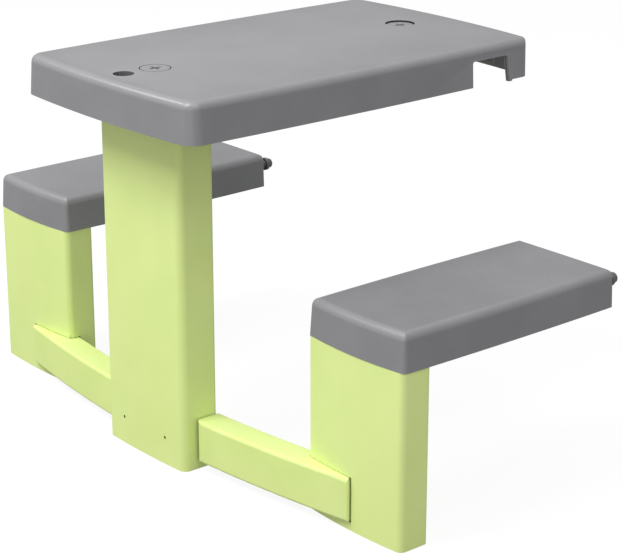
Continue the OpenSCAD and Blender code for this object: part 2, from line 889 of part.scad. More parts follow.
// Where the screws at the beam's far end stand, from the middle of the table
function end_screw_x(share) = seat_post_inner_x + share * beam_lap;

// The right beam: the left one is its mirror image
module beam() {
    boss_len = end_screw_len - post_wall;
    difference() {
        union() {
            beam_outside();
            block(
                [beam_x - tenon_len, tenon_front_y, beam_z + tenon_in],
                [beam_x + beam_wall, tenon_back_y, beam_z + beam_h - tenon_in]
            );
        }
        difference() {
            beam_hollow();
            for (share = end_screw_shares) {
                x = end_screw_x(share);
                along_y(x, end_screw_z, boss_d, beam_back(x) - boss_len, beam_back(x));
            }
        }
        for (share = end_screw_shares) {
            x = end_screw_x(share);
            back = beam_back(x);
            along_y(x, end_screw_z, screw_hole_d, back - boss_len - overrun, back + overrun);
        }
        along_y(foot_screw_x, foot_screw_z, screw_hole_d, tenon_front_y - overrun, tenon_back_y + overrun);
    }
}

module left_beam() {
    color(green)
    mirror([1, 0, 0])
        beam();
}

module right_beam() {
    color(green)
    beam();
}

// A pan-head screw that points up, with the underside of its head at the origin
module screw(len) {
    tip = screw_d / 2;
    crown = screw_head_t / 3;
    span = screw_head_d * screw_slot_share;
    width = screw_head_d * screw_slot_width_share;
    difference() {
        rotate_extrude()
            polygon([
                [0, -screw_head_t],
                [screw_head_d / 2 - crown, -screw_head_t],
                [screw_head_d / 2, crown - screw_head_t],
                [screw_head_d / 2, 0],
                [screw_d / 2, 0],
                [screw_d / 2, len - tip],
                [0, len]
            ]);
        for (turn = [0, 90])
            rotate([0, 0, turn])
                block(
                    [-span / 2, -width / 2, -screw_head_t - overrun],
                    [span / 2, width / 2, -screw_head_t / 2]
                );
    }
}

module centre_post_beam_screws() {
    color(steel)
    for (x = [-foot_screw_x, foot_screw_x])
        translate([x, post_back_y, foot_screw_z])
            rotate([90, 0, 0])
                screw(post_back_y - post_front_y - 2 * post_wall);
}

// The right seat post's pocket for the beam's end
module beam_pocket() {
    translate([0, 0, beam_z - pocket_gap])
        linear_extrude(height = beam_h + 2 * pocket_gap)
            beam_plan(pocket_gap);
}

// Walls of that pocket
module pocket_walls() {
    x1 = seat_post_inner_x + beam_lap + post_wall;
    back = beam_back(x1) + post_wall;
    block(
        [seat_post_inner_x + post_wall / 2, seat_post_front_y + post_wall, beam_z - post_wall],
        [x1, back, beam_z + beam_h + pocket_gap + post_wall]
    );
}

// A solid seat post section between two heights
module seat_post_prism(inset, z0, z1) {
    translate([seat_out, seat_post_front_y, z0])
        linear_extrude(height = z1 - z0)
            bowed_plan(
                seat_post_w,
                seat_post_d,
                seat_post_bow,
                seat_post_front_r,
                seat_post_back_r,
                inset
            );
}

// The right seat post: the left one is its mirror image
module seat_post() {
    difference() {
        union() {
            difference() {
                union() {
                    seat_post_prism(0, 0, seat_foot_z);
                    seat_post_prism(neck_in, seat_foot_z - overrun, seat_neck_top_z);
                }
                seat_post_prism(post_wall, -overrun, seat_foot_z - post_wall);
                seat_post_prism(neck_in + post_wall, seat_foot_z - 2 * post_wall, seat_neck_in_z);
            }
            for (share = seat_post_web_shares)
                post_web(
                    seat_out + share * seat_post_w,
                    seat_post_front_y,
                    seat_post_back_y,
                    seat_foot_z
                );
            pocket_walls();
            for (share = end_screw_shares) {
                x = end_screw_x(share);
                boss_end = seat_post_back_y - post_wall / 2;
                along_y(x, end_screw_z, access_d + 2 * rib_t, beam_back(x), boss_end);
            }
        }
        beam_pocket();
        for (share = end_screw_shares) {
            x = end_screw_x(share);
            along_y(x, end_screw_z, screw_hole_d, beam_back(x) - overrun, seat_post_back_y);
            along_y(x, end_screw_z, access_d, beam_back(x) + end_screw_floor, seat_post_back_y + overrun);
        }
        for (share = seat_screw_shares) {
            x = seat_out + share * seat_post_w;
            upright(x, seat_post_mid_y, screw_hole_d, seat_neck_in_z - overrun, seat_neck_top_z + overrun);
        }
    }
}

module left_seat_post() {
    color(green)
    mirror([1, 0, 0])
        seat_post();
}

module right_seat_post() {
    color(green)
    seat_post();
}

// The right seat post's screws into the beam's end
module beam_end_screws() {
    for (share = end_screw_shares) {
        x = end_screw_x(share);
        translate([x, beam_back(x) + end_screw_floor, end_screw_z])
            rotate([90, 0, 0])
                screw(end_screw_len);
    }
}

module left_beam_end_screws() {
    color(steel)
    mirror([1, 0, 0])
        beam_end_screws();
}

module right_beam_end_screws() {
    color(steel)
    beam_end_screws();
}

// Ribs under a seat, before the shell trims them
module seat_ribs() {
    foot = seat_under_z - seat_rib_h;
    for (share = seat_rib_x_shares)
        block(
            [share * seat_w - rib_t / 2, seat_post_back_y, foot],
            [share * seat_w + rib_t / 2, seat_back_y, seat_in_z]
        );
    for (share = seat_rib_y_shares)
        block(
            [-seat_w / 2, seat_front_y + share * seat_len - rib_t / 2, foot],
            [seat_w / 2, seat_front_y + share * seat_len + rib_t / 2, seat_in_z]
        );
}

// A seat, centred on x = 0
module seat() {
    root_y = seat_back_y - peg_root;
    difference() {
        union() {
            difference() {
                seat_form(0, 0);
                seat_form(seat_wall, -overrun);
            }
            intersection() {
                seat_form(seat_wall / 2, 0);
                seat_ribs();
            }
            for (share = seat_screw_shares)
                upright(share * seat_post_w, seat_post_mid_y, boss_d, seat_neck_top_z, seat_in_z);
            for (side = [-1, 1])
                along_y(side * peg_pitch / 2, peg_z, peg_socket_d, root_y, seat_back_y - seat_wall / 2);
        }
        for (share = seat_screw_shares) {
            x = share * seat_post_w;
            upright(x, seat_post_mid_y, screw_hole_d, seat_neck_top_z - overrun, seat_under_z);
        }
        for (side = [-1, 1])
            along_y(side * peg_pitch / 2, peg_z, peg_hole_d, root_y - overrun, seat_back_y + overrun);
    }
}

module left_seat() {
    color(grey)
    translate([-seat_out, 0, 0])
        seat();
}

module right_seat() {
    color(grey)
    translate([seat_out, 0, 0])
        seat();
}

// The screws that hold a seat to its post, centred on x = 0
module seat_screws() {
    for (share = seat_screw_shares)
        translate([share * seat_post_w, seat_post_mid_y, seat_neck_in_z])
            screw(seat_screw_len);
}

module left_seat_screws() {
    color(steel)
    translate([-seat_out, 0, 0])
        seat_screws();
}

module right_seat_screws() {
    color(steel)
    translate([seat_out, 0, 0])
        seat_screws();
}

// A stepped peg along Y: root, shaft, collar, groove and a head with a rounded end
module peg() {
    bevel = collar_t / 6;
    groove_end = peg_reach - peg_head_t;
    collar_end = groove_end - peg_groove_w;
    collar_start = collar_end - collar_t;
    head_bevel = peg_head_t / 3;
    rotate([-90, 0, 0])
        rotate_extrude()
            polygon([
                [0, -peg_root],
                [peg_d / 2, -peg_root],
                [peg_d / 2, collar_start],
                [collar_d / 2 - bevel, collar_start],
                [collar_d / 2, collar_start + bevel],
                [collar_d / 2, collar_end - bevel],
                [collar_d / 2 - bevel, collar_end],
                [peg_neck_d / 2, collar_end],
                [peg_neck_d / 2, groove_end],
                [peg_head_d / 2 - bevel, groove_end],
                [peg_head_d / 2, groove_end + bevel],
                [peg_head_d / 2, peg_reach - head_bevel],
                [peg_head_d / 2 - head_bevel, peg_reach],
                [0, peg_reach]
            ]);
}

// The pegs of a seat, centred on x = 0
module seat_pegs() {
    for (side = [-1, 1])
        translate([side * peg_pitch / 2, seat_back_y, peg_z])
            peg();
}

module left_seat_pegs() {
    color(dark_grey)
    translate([-seat_out, 0, 0])
        seat_pegs();
}

module right_seat_pegs() {
    color(dark_grey)
    translate([seat_out, 0, 0])
        seat_pegs();
}

tabletop();
tabletop_post_bolt();
tabletop_wall_bolt();
centre_post();
left_beam();
right_beam();
centre_post_beam_screws();
left_seat_post();
right_seat_post();
left_beam_end_screws();
right_beam_end_screws();
left_seat();
right_seat();
left_seat_screws();
right_seat_screws();
left_seat_pegs();
right_seat_pegs();
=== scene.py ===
"""Looks of a kids picnic table that hooks over a playhouse wall.

Smooth moulded pieces stand for the CAD nodes, and plastics, studio light and a camera finish the view.
Lengths are in metres in the CAD frame, unless a name ends in _mm.
"""

import logging
import math
from collections.abc import Iterable
from dataclasses import dataclass, field
from enum import Enum

import bmesh
import bpy
from mathutils import Matrix, Vector
from mathutils.bvhtree import BVHTree


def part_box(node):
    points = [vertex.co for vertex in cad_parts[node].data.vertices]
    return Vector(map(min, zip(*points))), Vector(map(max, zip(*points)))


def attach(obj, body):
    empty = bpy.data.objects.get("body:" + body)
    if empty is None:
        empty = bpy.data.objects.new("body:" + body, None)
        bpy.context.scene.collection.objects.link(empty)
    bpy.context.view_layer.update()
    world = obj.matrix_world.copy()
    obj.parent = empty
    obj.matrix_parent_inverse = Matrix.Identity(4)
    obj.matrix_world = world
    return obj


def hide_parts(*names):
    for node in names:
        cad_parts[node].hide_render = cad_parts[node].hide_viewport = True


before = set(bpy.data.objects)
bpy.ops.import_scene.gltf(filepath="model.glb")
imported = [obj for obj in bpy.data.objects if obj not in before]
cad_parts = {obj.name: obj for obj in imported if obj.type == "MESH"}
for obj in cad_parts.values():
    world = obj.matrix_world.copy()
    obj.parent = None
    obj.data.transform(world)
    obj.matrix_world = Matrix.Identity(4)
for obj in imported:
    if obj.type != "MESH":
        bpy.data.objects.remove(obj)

MM = 0.001
FULL_TURN = math.tau
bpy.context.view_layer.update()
BODY = "root"
RUB_LAYER = "rub"
# Face attribute that holds the share of blocked rays, which sets the painted shade in holes, hollows
# and gaps
PAINTED_SHADE_LAYER = "recess"
# Vertices of a CAD mesh that lie closer than this are one vertex
WELD_MM = 0.002
# Faces that meet at less than this lie in one plane
FLAT_DEG = 0.15
# Edges sharper than this stay sharp in the shading
SHARP_DEG = 36.0
# Weight that keeps flat faces flat in the shading, in percent
FLAT_WEIGHT = 100
# Vertices on edges that bend less than the first count as flat, and above the second as rubbed
RUB_BEND_DEG = (9.0, 14.0)
# How rubbed a vertex is where a small radius meets a flat
HALF_RUBBED = 0.5
# Most values of a noise pattern lie in the wide span, and half or more in the narrow one
WIDE_SPAN = (0.3, 0.7)
NARROW_SPAN = (0.35, 0.65)
UNIT_SPAN = (0.0, 1.0)
# Shares of blocked rays at which the painted shade on a face starts and is at its darkest
PAINTED_SHADE_SPAN = (0.42, 0.7)

log = logging.getLogger("picnic_table")


# Small helpers


def srgb(code: str) -> tuple[float, float, float, float]:
    """Turn an sRGB hex colour into linear RGBA.

    Args:
        code: Colour such as "#98989A".

    Returns:
        Linear red, green and blue, and an alpha of 1.
    """
    channels = [int(code[i : i + 2], 16) / 255 for i in (1, 3, 5)]
    linear = [c / 12.92 if c <= 0.04045 else ((c + 0.055) / 1.055) ** 2.4 for c in channels]
    return (linear[0], linear[1], linear[2], 1.0)


def add_node(
    tree: bpy.types.NodeTree, kind: str, settings: dict[str, object], links: dict[str, object]
) -> bpy.types.Node:
    """Add a shader node with its settings, socket values and links.

    Args:
        tree: Tree that gets the node.
        kind: Node type, such as "ShaderNodeTexNoise".
        settings: Attributes of the node, by name.
        links: Input sockets by name, each with a value or with the output socket that feeds it.

    Returns:
        The new node.
    """
    node = tree.nodes.new(kind)
    for key, value in settings.items():
        setattr(node, key, value)
    for key, value in links.items():
        socket = next(s for s in node.inputs if s.name == key and s.enabled)
        if isinstance(value, bpy.types.NodeSocket):
            tree.links.new(value, socket)
        else:
            socket.default_value = value
    return node


def rescaled(
    tree: bpy.types.NodeTree,
    value: bpy.types.NodeSocket,
    source: tuple[float, float],
    target: tuple[float, float],
) -> bpy.types.NodeSocket:
    """Map a span of values to another one and clamp them to it.

    Args:
        tree: Tree of the material.
        value: Values to map.
        source: Span that they come from.
        target: Span that they go to.

    Returns:
        The mapped values.
    """
    return add_node(
        tree,
        "ShaderNodeMapRange",
        {},
        {
            "Value": value,
            "From Min": source[0],
            "From Max": source[1],
            "To Min": target[0],
            "To Max": target[1],
        },
    ).outputs["Result"]


def computed(
    tree: bpy.types.NodeTree,
    operation: str,
    first: bpy.types.NodeSocket,
    second: bpy.types.NodeSocket,
    clamp: bool = False,
) -> bpy.types.NodeSocket:
    """Combine two values by a sum or a product.

    Args:
        tree: Tree of the material.
        operation: Operation of the Math node.
        first: First value.
        second: Second value.
        clamp: Whether the result is kept from 0 to 1.

    Returns:
        The result.
    """
    node = add_node(tree, "ShaderNodeMath", {"operation": operation, "use_clamp": clamp}, {})
    tree.links.new(first, node.inputs[0])
    tree.links.new(second, node.inputs[1])
    return node.outputs["Value"]


def mixed(
    tree: bpy.types.NodeTree, share: bpy.types.NodeSocket, first: object, second: object
) -> bpy.types.NodeSocket:
    """Mix two colours.

    Args:
        tree: Tree of the material.
        share: Share of the second colour.
        first: First colour, as RGBA or a socket.
        second: Second colour, as RGBA or a socket.

    Returns:
        The mixed colour.
    """
    node = add_node(
        tree, "ShaderNodeMix", {"data_type": "RGBA"}, {"Factor": share, "A": first, "B": second}
    )
    return next(s for s in node.outputs if s.name == "Result" and s.enabled)


def attribute(tree: bpy.types.NodeTree, layer: str) -> bpy.types.NodeSocket:
    """Read a value that the mesh carries.

    Args:
        tree: Tree of the material.
        layer: Name of the mesh's attribute.

    Returns:
        The value.
    """
    return add_node(tree, "ShaderNodeAttribute", {"attribute_name": layer}, {}).outputs["Fac"]


def painted_recess_shade(
    tree: bpy.types.NodeTree, colour: bpy.types.NodeSocket, dark: str
) -> bpy.types.NodeSocket:
    """Paint shade into a colour where a face lies within a hole, a hollow or a narrow gap.

    Args:
        tree: Tree of the material.
        colour: Colour on open faces.
        dark: Painted shade colour where a face is quite shut in.

    Returns:
        The colour for all faces.
    """
    share = rescaled(tree, attribute(tree, PAINTED_SHADE_LAYER), PAINTED_SHADE_SPAN, UNIT_SPAN)
    return mixed(tree, share, colour, srgb(dark))


def empty_material(name: str) -> bpy.types.Material:
    """Make a material whose tree has no nodes yet.

    Args:
        name: Name of the material.

    Returns:
        The new material.
    """
    material = bpy.data.materials.new(name)
    material.use_nodes = True
    material.node_tree.nodes.clear()
    return material


@dataclass(frozen=True)
class Pattern:
    """A noise pattern, by the size of its blobs."""

    size_mm: float
    layers: float
    layer_share: float

    def add(
        self, tree: bpy.types.NodeTree, place: bpy.types.NodeSocket
    ) -> bpy.types.NodeSocket:
        """Add the pattern to a material.

        Args:
            tree: Tree of the material.
            place: Coordinates that the pattern follows.

        Returns:
            Its values.
        """
        return add_node(
            tree,
            "ShaderNodeTexNoise",
            {},
            {
                "Vector": place,
                "Scale": 1 / (self.size_mm * MM),
                "Detail": self.layers,
                "Roughness": self.layer_share,
            },
        ).outputs["Fac"]


# Finishes


@dataclass(frozen=True)
class MouldedPlastic:
    """A polyolefin moulded against a fine spark-eroded steel surface.

    The eye sees an even colour with soft, broad highlights, a faint unevenness where the wall has
    sunk while cooling, and edges that handling has polished a little lighter. Holes, hollows and
    narrow gaps get a painted shade.
    """

    name: str
    colour: str
    deep_colour: str
    rubbed_colour: str
    # Colour of the painted shade in holes, hollows and gaps
    painted_shade_colour: str
    roughness: float
    clouds: Pattern = Pattern(70.0, 3.0, 0.5)
    flecks: Pattern = Pattern(5.4, 4.0, 0.7)
    # The real grain is about 0.1 mm: drawn coarser, so that it shows at all in the picture
    grain: Pattern = Pattern(0.9, 2.0, 0.6)
    grain_depth_mm: float = 0.012
    sink_depth_mm: float = 0.25
    fleck_share: float = 0.25
    smoother: float = 0.03
    rougher: float = 0.04
    ior: float = 1.49

    def build(self) -> bpy.types.Material:
        """Make the material.

        Returns:
            The finished material.
        """
        material = empty_material(self.name)
        tree = material.node_tree
        place = add_node(tree, "ShaderNodeTexCoord", {}, {}).outputs["Object"]
        clouds = self.clouds.add(tree, place)
        grain = self.grain.add(tree, place)
        flecks = self.flecks.add(tree, place)
        tone = rescaled(tree, clouds, NARROW_SPAN, UNIT_SPAN)
        fleck_tone = rescaled(tree, flecks, WIDE_SPAN, (-self.fleck_share, self.fleck_share))
        mottled = computed(tree, "ADD", tone, fleck_tone, clamp=True)
        body = mixed(tree, mottled, srgb(self.colour), srgb(self.deep_colour))
        worn = computed(tree, "MULTIPLY", attribute(tree, RUB_LAYER), flecks)
        coloured = mixed(tree, worn, body, srgb(self.rubbed_colour))
        sheen = (self.roughness - self.smoother, self.roughness + self.rougher)
        sunk = add_node(
            tree,
            "ShaderNodeBump",
            {},
            {"Height": clouds, "Distance": self.sink_depth_mm * MM, "Strength": 1.0},
        ).outputs["Normal"]
        grained = add_node(
            tree,
            "ShaderNodeBump",
            {},
            {
                "Height": grain,
                "Distance": self.grain_depth_mm * MM,
                "Strength": 1.0,
                "Normal": sunk,
            },
        ).outputs["Normal"]
        shader = add_node(
            tree,
            "ShaderNodeBsdfPrincipled",
            {},
            {
                "Base Color": painted_recess_shade(tree, coloured, self.painted_shade_colour),
                "Roughness": rescaled(tree, flecks, WIDE_SPAN, sheen),
                "IOR": self.ior,
                "Normal": grained,
            },
        )
        add_node(tree, "ShaderNodeOutputMaterial", {}, {"Surface": shader.outputs["BSDF"]})
        return material


@dataclass(frozen=True)
class ZincPlatedSteel:
    """Turned steel with a bright zinc plating.

    The eye sees a cool metal with a slightly cloudy, rolled surface. Holes and hollows get a painted
    shade.
    """

    name: str
    colour: str = "#C3C7CB"
    dull_colour: str = "#9A9EA3"
    # Colour of the painted shade in holes and hollows
    painted_shade_colour: str = "#141516"
    roughness: float = 0.34
    crystals: Pattern = Pattern(1.2, 4.0, 0.6)
    smoother: float = 0.08
    rougher: float = 0.1

    def build(self) -> bpy.types.Material:
        """Make the material.

        Returns:
            The finished material.
        """
        material = empty_material(self.name)
        tree = material.node_tree
        place = add_node(tree, "ShaderNodeTexCoord", {}, {}).outputs["Object"]
        crystals = self.crystals.add(tree, place)
        body = mixed(tree, crystals, srgb(self.colour), srgb(self.dull_colour))
        sheen = (self.roughness - self.smoother, self.roughness + self.rougher)
        shader = add_node(
            tree,
            "ShaderNodeBsdfPrincipled",
            {},
            {
                "Base Color": painted_recess_shade(tree, body, self.painted_shade_colour),
                "Metallic": 1.0,
                "Roughness": rescaled(tree, crystals, WIDE_SPAN, sheen),
            },
        )
        add_node(tree, "ShaderNodeOutputMaterial", {}, {"Surface": shader.outputs["BSDF"]})
        return material


class Finish(Enum):
    """The finishes of the table."""

    GREY = "grey_plastic"
    GREEN = "green_plastic"
    BOLT = "bolt_plastic"
    PEG = "peg_plastic"
    ZINC = "zinc_steel"


@dataclass(frozen=True)
class PaintedShadeProbe:
    """Finds how shut in each face of a piece is, by the piece itself and by the whole table, for the
    painted shade in its hollows.
    """

    reach_mm: float = 60.0
    rays: int = 32
    lift_mm: float = 0.05

    def ways(self) -> list[Vector]:
        """Spread the rays over the half sphere round +Z, denser towards its pole.

        Returns:
            Directions of the rays.
        """
        golden = math.pi * (3 - math.sqrt(5))
        found = []
        for i in range(self.rays):
            r = math.sqrt((i + 0.5) / self.rays)
            found.append(
                Vector((r * math.cos(i * golden), r * math.sin(i * golden), math.sqrt(1 - r * r)))
            )
        return found

    def mark(self, data: bpy.types.Mesh, nodes: tuple[str, ...]) -> None:
        """Store for each face the share of its rays that hit something near, which the materials paint
        in as shade.

        Args:
            data: Mesh of a piece, in the row frame.
            nodes: CAD nodes that the piece stands for.
        """
        around = bmesh.new()
        around.from_mesh(data)
        for name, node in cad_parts.items():
            if name not in nodes:
                around.from_mesh(node.data)
        tree = BVHTree.FromBMesh(around)
        around.free()
        ways = self.ways()
        layer = data.attributes.new(PAINTED_SHADE_LAYER, "FLOAT", "FACE")
        for face, value in zip(data.polygons, layer.data):
            start = face.center + face.normal * self.lift_mm * MM
            turn = face.normal.to_track_quat("Z", "X")
            hits = [tree.ray_cast(start, turn @ way, self.reach_mm * MM)[0] for way in ways]
            value.value = sum(hit is not None for hit in hits) / self.rays


@dataclass
class Workshop:
    """Builds each finish once and hands pieces over to the root body."""

    materials: dict[Finish, bpy.types.Material] = field(default_factory=dict)
    probe: PaintedShadeProbe = PaintedShadeProbe()

    def prepare(self) -> None:
        """Make the material of every finish."""
        # Each plastic gives its colour, deeper tone, rubbed edge colour, painted shade colour for
        # holes and gaps, and roughness
        recipes = {
            Finish.GREY: MouldedPlastic(
                "moulded_grey_polypropylene", "#87878A", "#828285", "#9C9C9E", "#1E1E20", 0.32
            ),
            Finish.GREEN: MouldedPlastic(
                "moulded_lime_polypropylene", "#E1F398", "#DBEE90", "#E8F6AA", "#8E9E5C", 0.56
            ),
            Finish.BOLT: MouldedPlastic(
                "moulded_grey_nylon", "#88888A", "#828284", "#9A9A9C", "#262628", 0.44
            ),
            Finish.PEG: MouldedPlastic(
                "moulded_dark_nylon", "#6A6A6C", "#616163", "#808082", "#262628", 0.40
            ),
            Finish.ZINC: ZincPlatedSteel("zinc_plated_steel"),
        }
        for finish, recipe in recipes.items():
            self.materials[finish] = recipe.build()

    def hand_over(
        self, name: str, mesh: bmesh.types.BMesh, finish: Finish, nodes: tuple[str, ...]
    ) -> bpy.types.Object:
        """Turn a finished bmesh into a piece that stands for CAD nodes.

        Args:
            name: Name of the piece.
            mesh: Its bmesh, in the row frame. It is freed here.
            finish: Its finish.
            nodes: CAD nodes that it stands for.

        Returns:
            The new object.
        """
        sharpen(mesh)
        data = bpy.data.meshes.new(name)
        mesh.to_mesh(data)
        mesh.free()
        # Store per face how shut in it is, for the painted shade
        self.probe.mark(data, nodes)
        data.materials.append(self.materials[finish])
        piece = bpy.data.objects.new(name, data)
        bpy.context.scene.collection.objects.link(piece)
        weighted = piece.modifiers.new("even_flats", "WEIGHTED_NORMAL")
        weighted.mode = "FACE_AREA"
        weighted.weight = FLAT_WEIGHT
        weighted.keep_sharp = True
        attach(piece, BODY)
        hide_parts(*nodes)
        log.info("%s: %d faces, stands for %s", name, len(data.polygons), ", ".join(nodes))
        return piece


# Mesh work that several pieces share


def sharpen(mesh: bmesh.types.BMesh) -> None:
    """Shade all faces smooth and keep the edges above SHARP_DEG sharp.

    Args:
        mesh: Mesh to mark.
    """
    limit = math.radians(SHARP_DEG)
    for face in mesh.faces:
        face.smooth = True
    for edge in mesh.edges:
        edge.smooth = edge.is_manifold and edge.calc_face_angle(0.0) < limit


def carried_over(node: str) -> bmesh.types.BMesh:
    """Copy a CAD node's mesh, merge it and clear the lines inside its flat faces.

    Args:
        node: Name of the CAD node.

    Returns:
        A new bmesh.
    """
    mesh = bmesh.new()
    mesh.from_mesh(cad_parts[node].data)
    bmesh.ops.remove_doubles(mesh, verts=mesh.verts, dist=WELD_MM * MM)
    bmesh.ops.dissolve_degenerate(mesh, edges=mesh.edges, dist=WELD_MM * MM)
    bmesh.ops.dissolve_limit(
        mesh,
        angle_limit=math.radians(FLAT_DEG),
        use_dissolve_boundaries=False,
        verts=mesh.verts,
        edges=mesh.edges,
    )
    return mesh


@dataclass(frozen=True)
class EdgeRadius:
    """The small radius that moulding or turning leaves on an outer edge."""

    radius_mm: float = 0.7
    segments: int = 3
    least_deg: float = 40.0
    most_deg: float = 150.0
    # An unrounded edge that meets a rounded one is at least this many radii long
    room: float = 2.2

    def edges(self, mesh: bmesh.types.BMesh) -> list[bmesh.types.BMEdge]:
        """Find the outer edges that have room for the radius.

        Args:
            mesh: Mesh to look through.

        Returns:
            Edges that can be rounded.
        """
        low, high = math.radians(self.least_deg), math.radians(self.most_deg)
        found = {
            e
            for e in mesh.edges
            if e.is_manifold and e.is_convex and low < e.calc_face_angle(0.0) < high
        }
        least = self.room * self.radius_mm * MM
        while True:
            tight = {
                e
                for e in found
                if any(
                    other not in found and other.calc_length() < least
                    for vert in e.verts
                    for other in vert.link_edges
                )
            }
            if not tight:
                return list(found)
            found -= tight

    def apply(self, mesh: bmesh.types.BMesh) -> None:
        """Round those edges and mark where hands rub them.

        Args:
            mesh: Mesh to round.
        """
        edges = self.edges(mesh)
        fresh: set[bmesh.types.BMFace] = set()
        if edges:
            result = bmesh.ops.bevel(
                mesh,
                geom=edges,
                offset=self.radius_mm * MM,
                offset_type="OFFSET",
                affect="EDGES",
                segments=self.segments,
                profile=0.5,
                material=-1,
                clamp_overlap=True,
                loop_slide=True,
            )
            fresh = set(result["faces"])
        mark_rubbed(mesh, fresh)


def mark_rubbed(mesh: bmesh.types.BMesh, rounded: set[bmesh.types.BMFace]) -> None:
    """Store how exposed each vertex is, from 0 on flats to 1 on outer edges.

    Args:
        mesh: Mesh that gets the values in its rub layer.
        rounded: Faces of the small radii.
    """
    start, full = (math.radians(bend) for bend in RUB_BEND_DEG)
    layer = mesh.verts.layers.float.get(RUB_LAYER) or mesh.verts.layers.float.new(RUB_LAYER)
    for vert in mesh.verts:
        bends = [
            e.calc_face_angle(0.0) for e in vert.link_edges if e.is_manifold and e.is_convex
        ]
        bend = min(1.0, max(0.0, (max(bends, default=0.0) - start) / (full - start)))
        inside = bool(vert.link_faces) and all(f in rounded for f in vert.link_faces)
        vert[layer] = 1.0 if inside else HALF_RUBBED * bend


def spun(profile: list[tuple[float, float]], steps: int) -> bmesh.types.BMesh:
    """Turn a profile round the Z axis into a closed solid.

    Args:
        profile: Radius and height of each corner in millimetres, from axis to axis.
        steps: Steps of the full turn.

    Returns:
        A new bmesh.
    """
    mesh = bmesh.new()
    verts = [mesh.verts.new((r * MM, 0, z * MM)) for r, z in profile]
    edges = [mesh.edges.new(pair) for pair in zip(verts, verts[1:])]
    bmesh.ops.spin(
        mesh,
        geom=verts + edges,
        cent=(0, 0, 0),
        axis=(0, 0, 1),
        angle=FULL_TURN,
        steps=steps,
        use_merge=True,
    )
    bmesh.ops.remove_doubles(mesh, verts=mesh.verts, dist=WELD_MM * MM)
    bmesh.ops.dissolve_degenerate(mesh, edges=mesh.edges, dist=WELD_MM * MM)
    bmesh.ops.recalc_face_normals(mesh, faces=mesh.faces)
    return mesh


@dataclass(frozen=True)
class Thread:
    """A helical ridge round a shank that points down the Z axis."""

    core_r_mm: float
    crest_r_mm: float
    pitch_mm: float
    top_mm: float
    foot_mm: float
    steps: int = 20
    # Half the ridge's width at its root as a share of the pitch, and at its crest of that half
    root_share: float = 0.42
    crest_share: float = 0.2
    # How deep the ridge's root lies in the core
    buried_mm: float = 0.15

    def wind(self, mesh: bmesh.types.BMesh) -> None:
        """Add the ridge to a mesh.

        Args:
            mesh: Mesh that gets the ridge.
        """
        turns = (self.top_mm - self.foot_mm) / self.pitch_mm
        half = self.root_share * self.pitch_mm
        flat = self.crest_share * half
        root = self.core_r_mm - self.buried_mm
        corners = [
            (root, self.top_mm + half),
            (root, self.top_mm - half),
            (self.crest_r_mm, self.top_mm - flat),
            (self.crest_r_mm, self.top_mm + flat),
        ]
        start = mesh.faces.new([mesh.verts.new((r * MM, 0, z * MM)) for r, z in corners])
        steps = round(turns * self.steps)
        bmesh.ops.spin(
            mesh,
            geom=[start] + list(start.edges) + list(start.verts),
            cent=(0, 0, 0),
            axis=(0, 0, 1),
            dvec=(0, 0, -(self.top_mm - self.foot_mm) * MM / steps),
            angle=turns * FULL_TURN,
            steps=steps,
        )
        bmesh.ops.recalc_face_normals(mesh, faces=mesh.faces)


def cut(mesh: bmesh.types.BMesh, cutters: Iterable[bmesh.types.BMesh]) -> bmesh.types.BMesh:
    """Cut solids out of a mesh.

    Args:
        mesh: Mesh to cut. It is freed here.
        cutters: Solids to take away. They are freed here.

    Returns:
        The mesh that is left.
    """
    scene = bpy.context.scene.collection
    made: list[bpy.types.Object] = []
    for name, solid in [("cut_work", mesh)] + [("cut_tool", c) for c in cutters]:
        data = bpy.data.meshes.new(name)
        solid.to_mesh(data)
        solid.free()
        made.append(bpy.data.objects.new(name, data))
        scene.objects.link(made[-1])
    work = made[0]
    for tool in made[1:]:
        step = work.modifiers.new("cut", "BOOLEAN")
        step.operation = "DIFFERENCE"
        step.solver = "EXACT"
        step.object = tool
    graph = bpy.context.evaluated_depsgraph_get()
    result = bmesh.new()
    result.from_mesh(work.evaluated_get(graph).to_mesh())
    work.evaluated_get(graph).to_mesh_clear()
    for item in made:
        data = item.data
        bpy.data.objects.remove(item)
        bpy.data.meshes.remove(data)
    return result


def bar(size: tuple[float, float, float], centre: tuple[float, float, float]) -> bmesh.types.BMesh:
    """Make a rectangular block.

    Args:
        size: Its size in millimetres.
        centre: Its middle in millimetres.

    Returns:
        A new bmesh.
    """
    mesh = bmesh.new()
    place = Matrix.Translation(Vector(centre) * MM) @ Matrix.Diagonal((*[s * MM for s in size], 1))
    bmesh.ops.create_cube(mesh, size=1.0, matrix=place)
    return mesh


def gather(parts: list[tuple[bmesh.types.BMesh, Matrix]]) -> bmesh.types.BMesh:
    """Join meshes, each at its own place.

    Args:
        parts: Meshes and their places. The meshes are freed here.

    Returns:
        A new bmesh.
    """
    whole = bmesh.new()
    whole.verts.layers.float.new(RUB_LAYER)
    for part, place in parts:
        data = bpy.data.meshes.new("gathered")
        part.transform(place)
        part.to_mesh(data)
        part.free()
        whole.from_mesh(data)
        bpy.data.meshes.remove(data)
    return whole


# Sub-assemblies


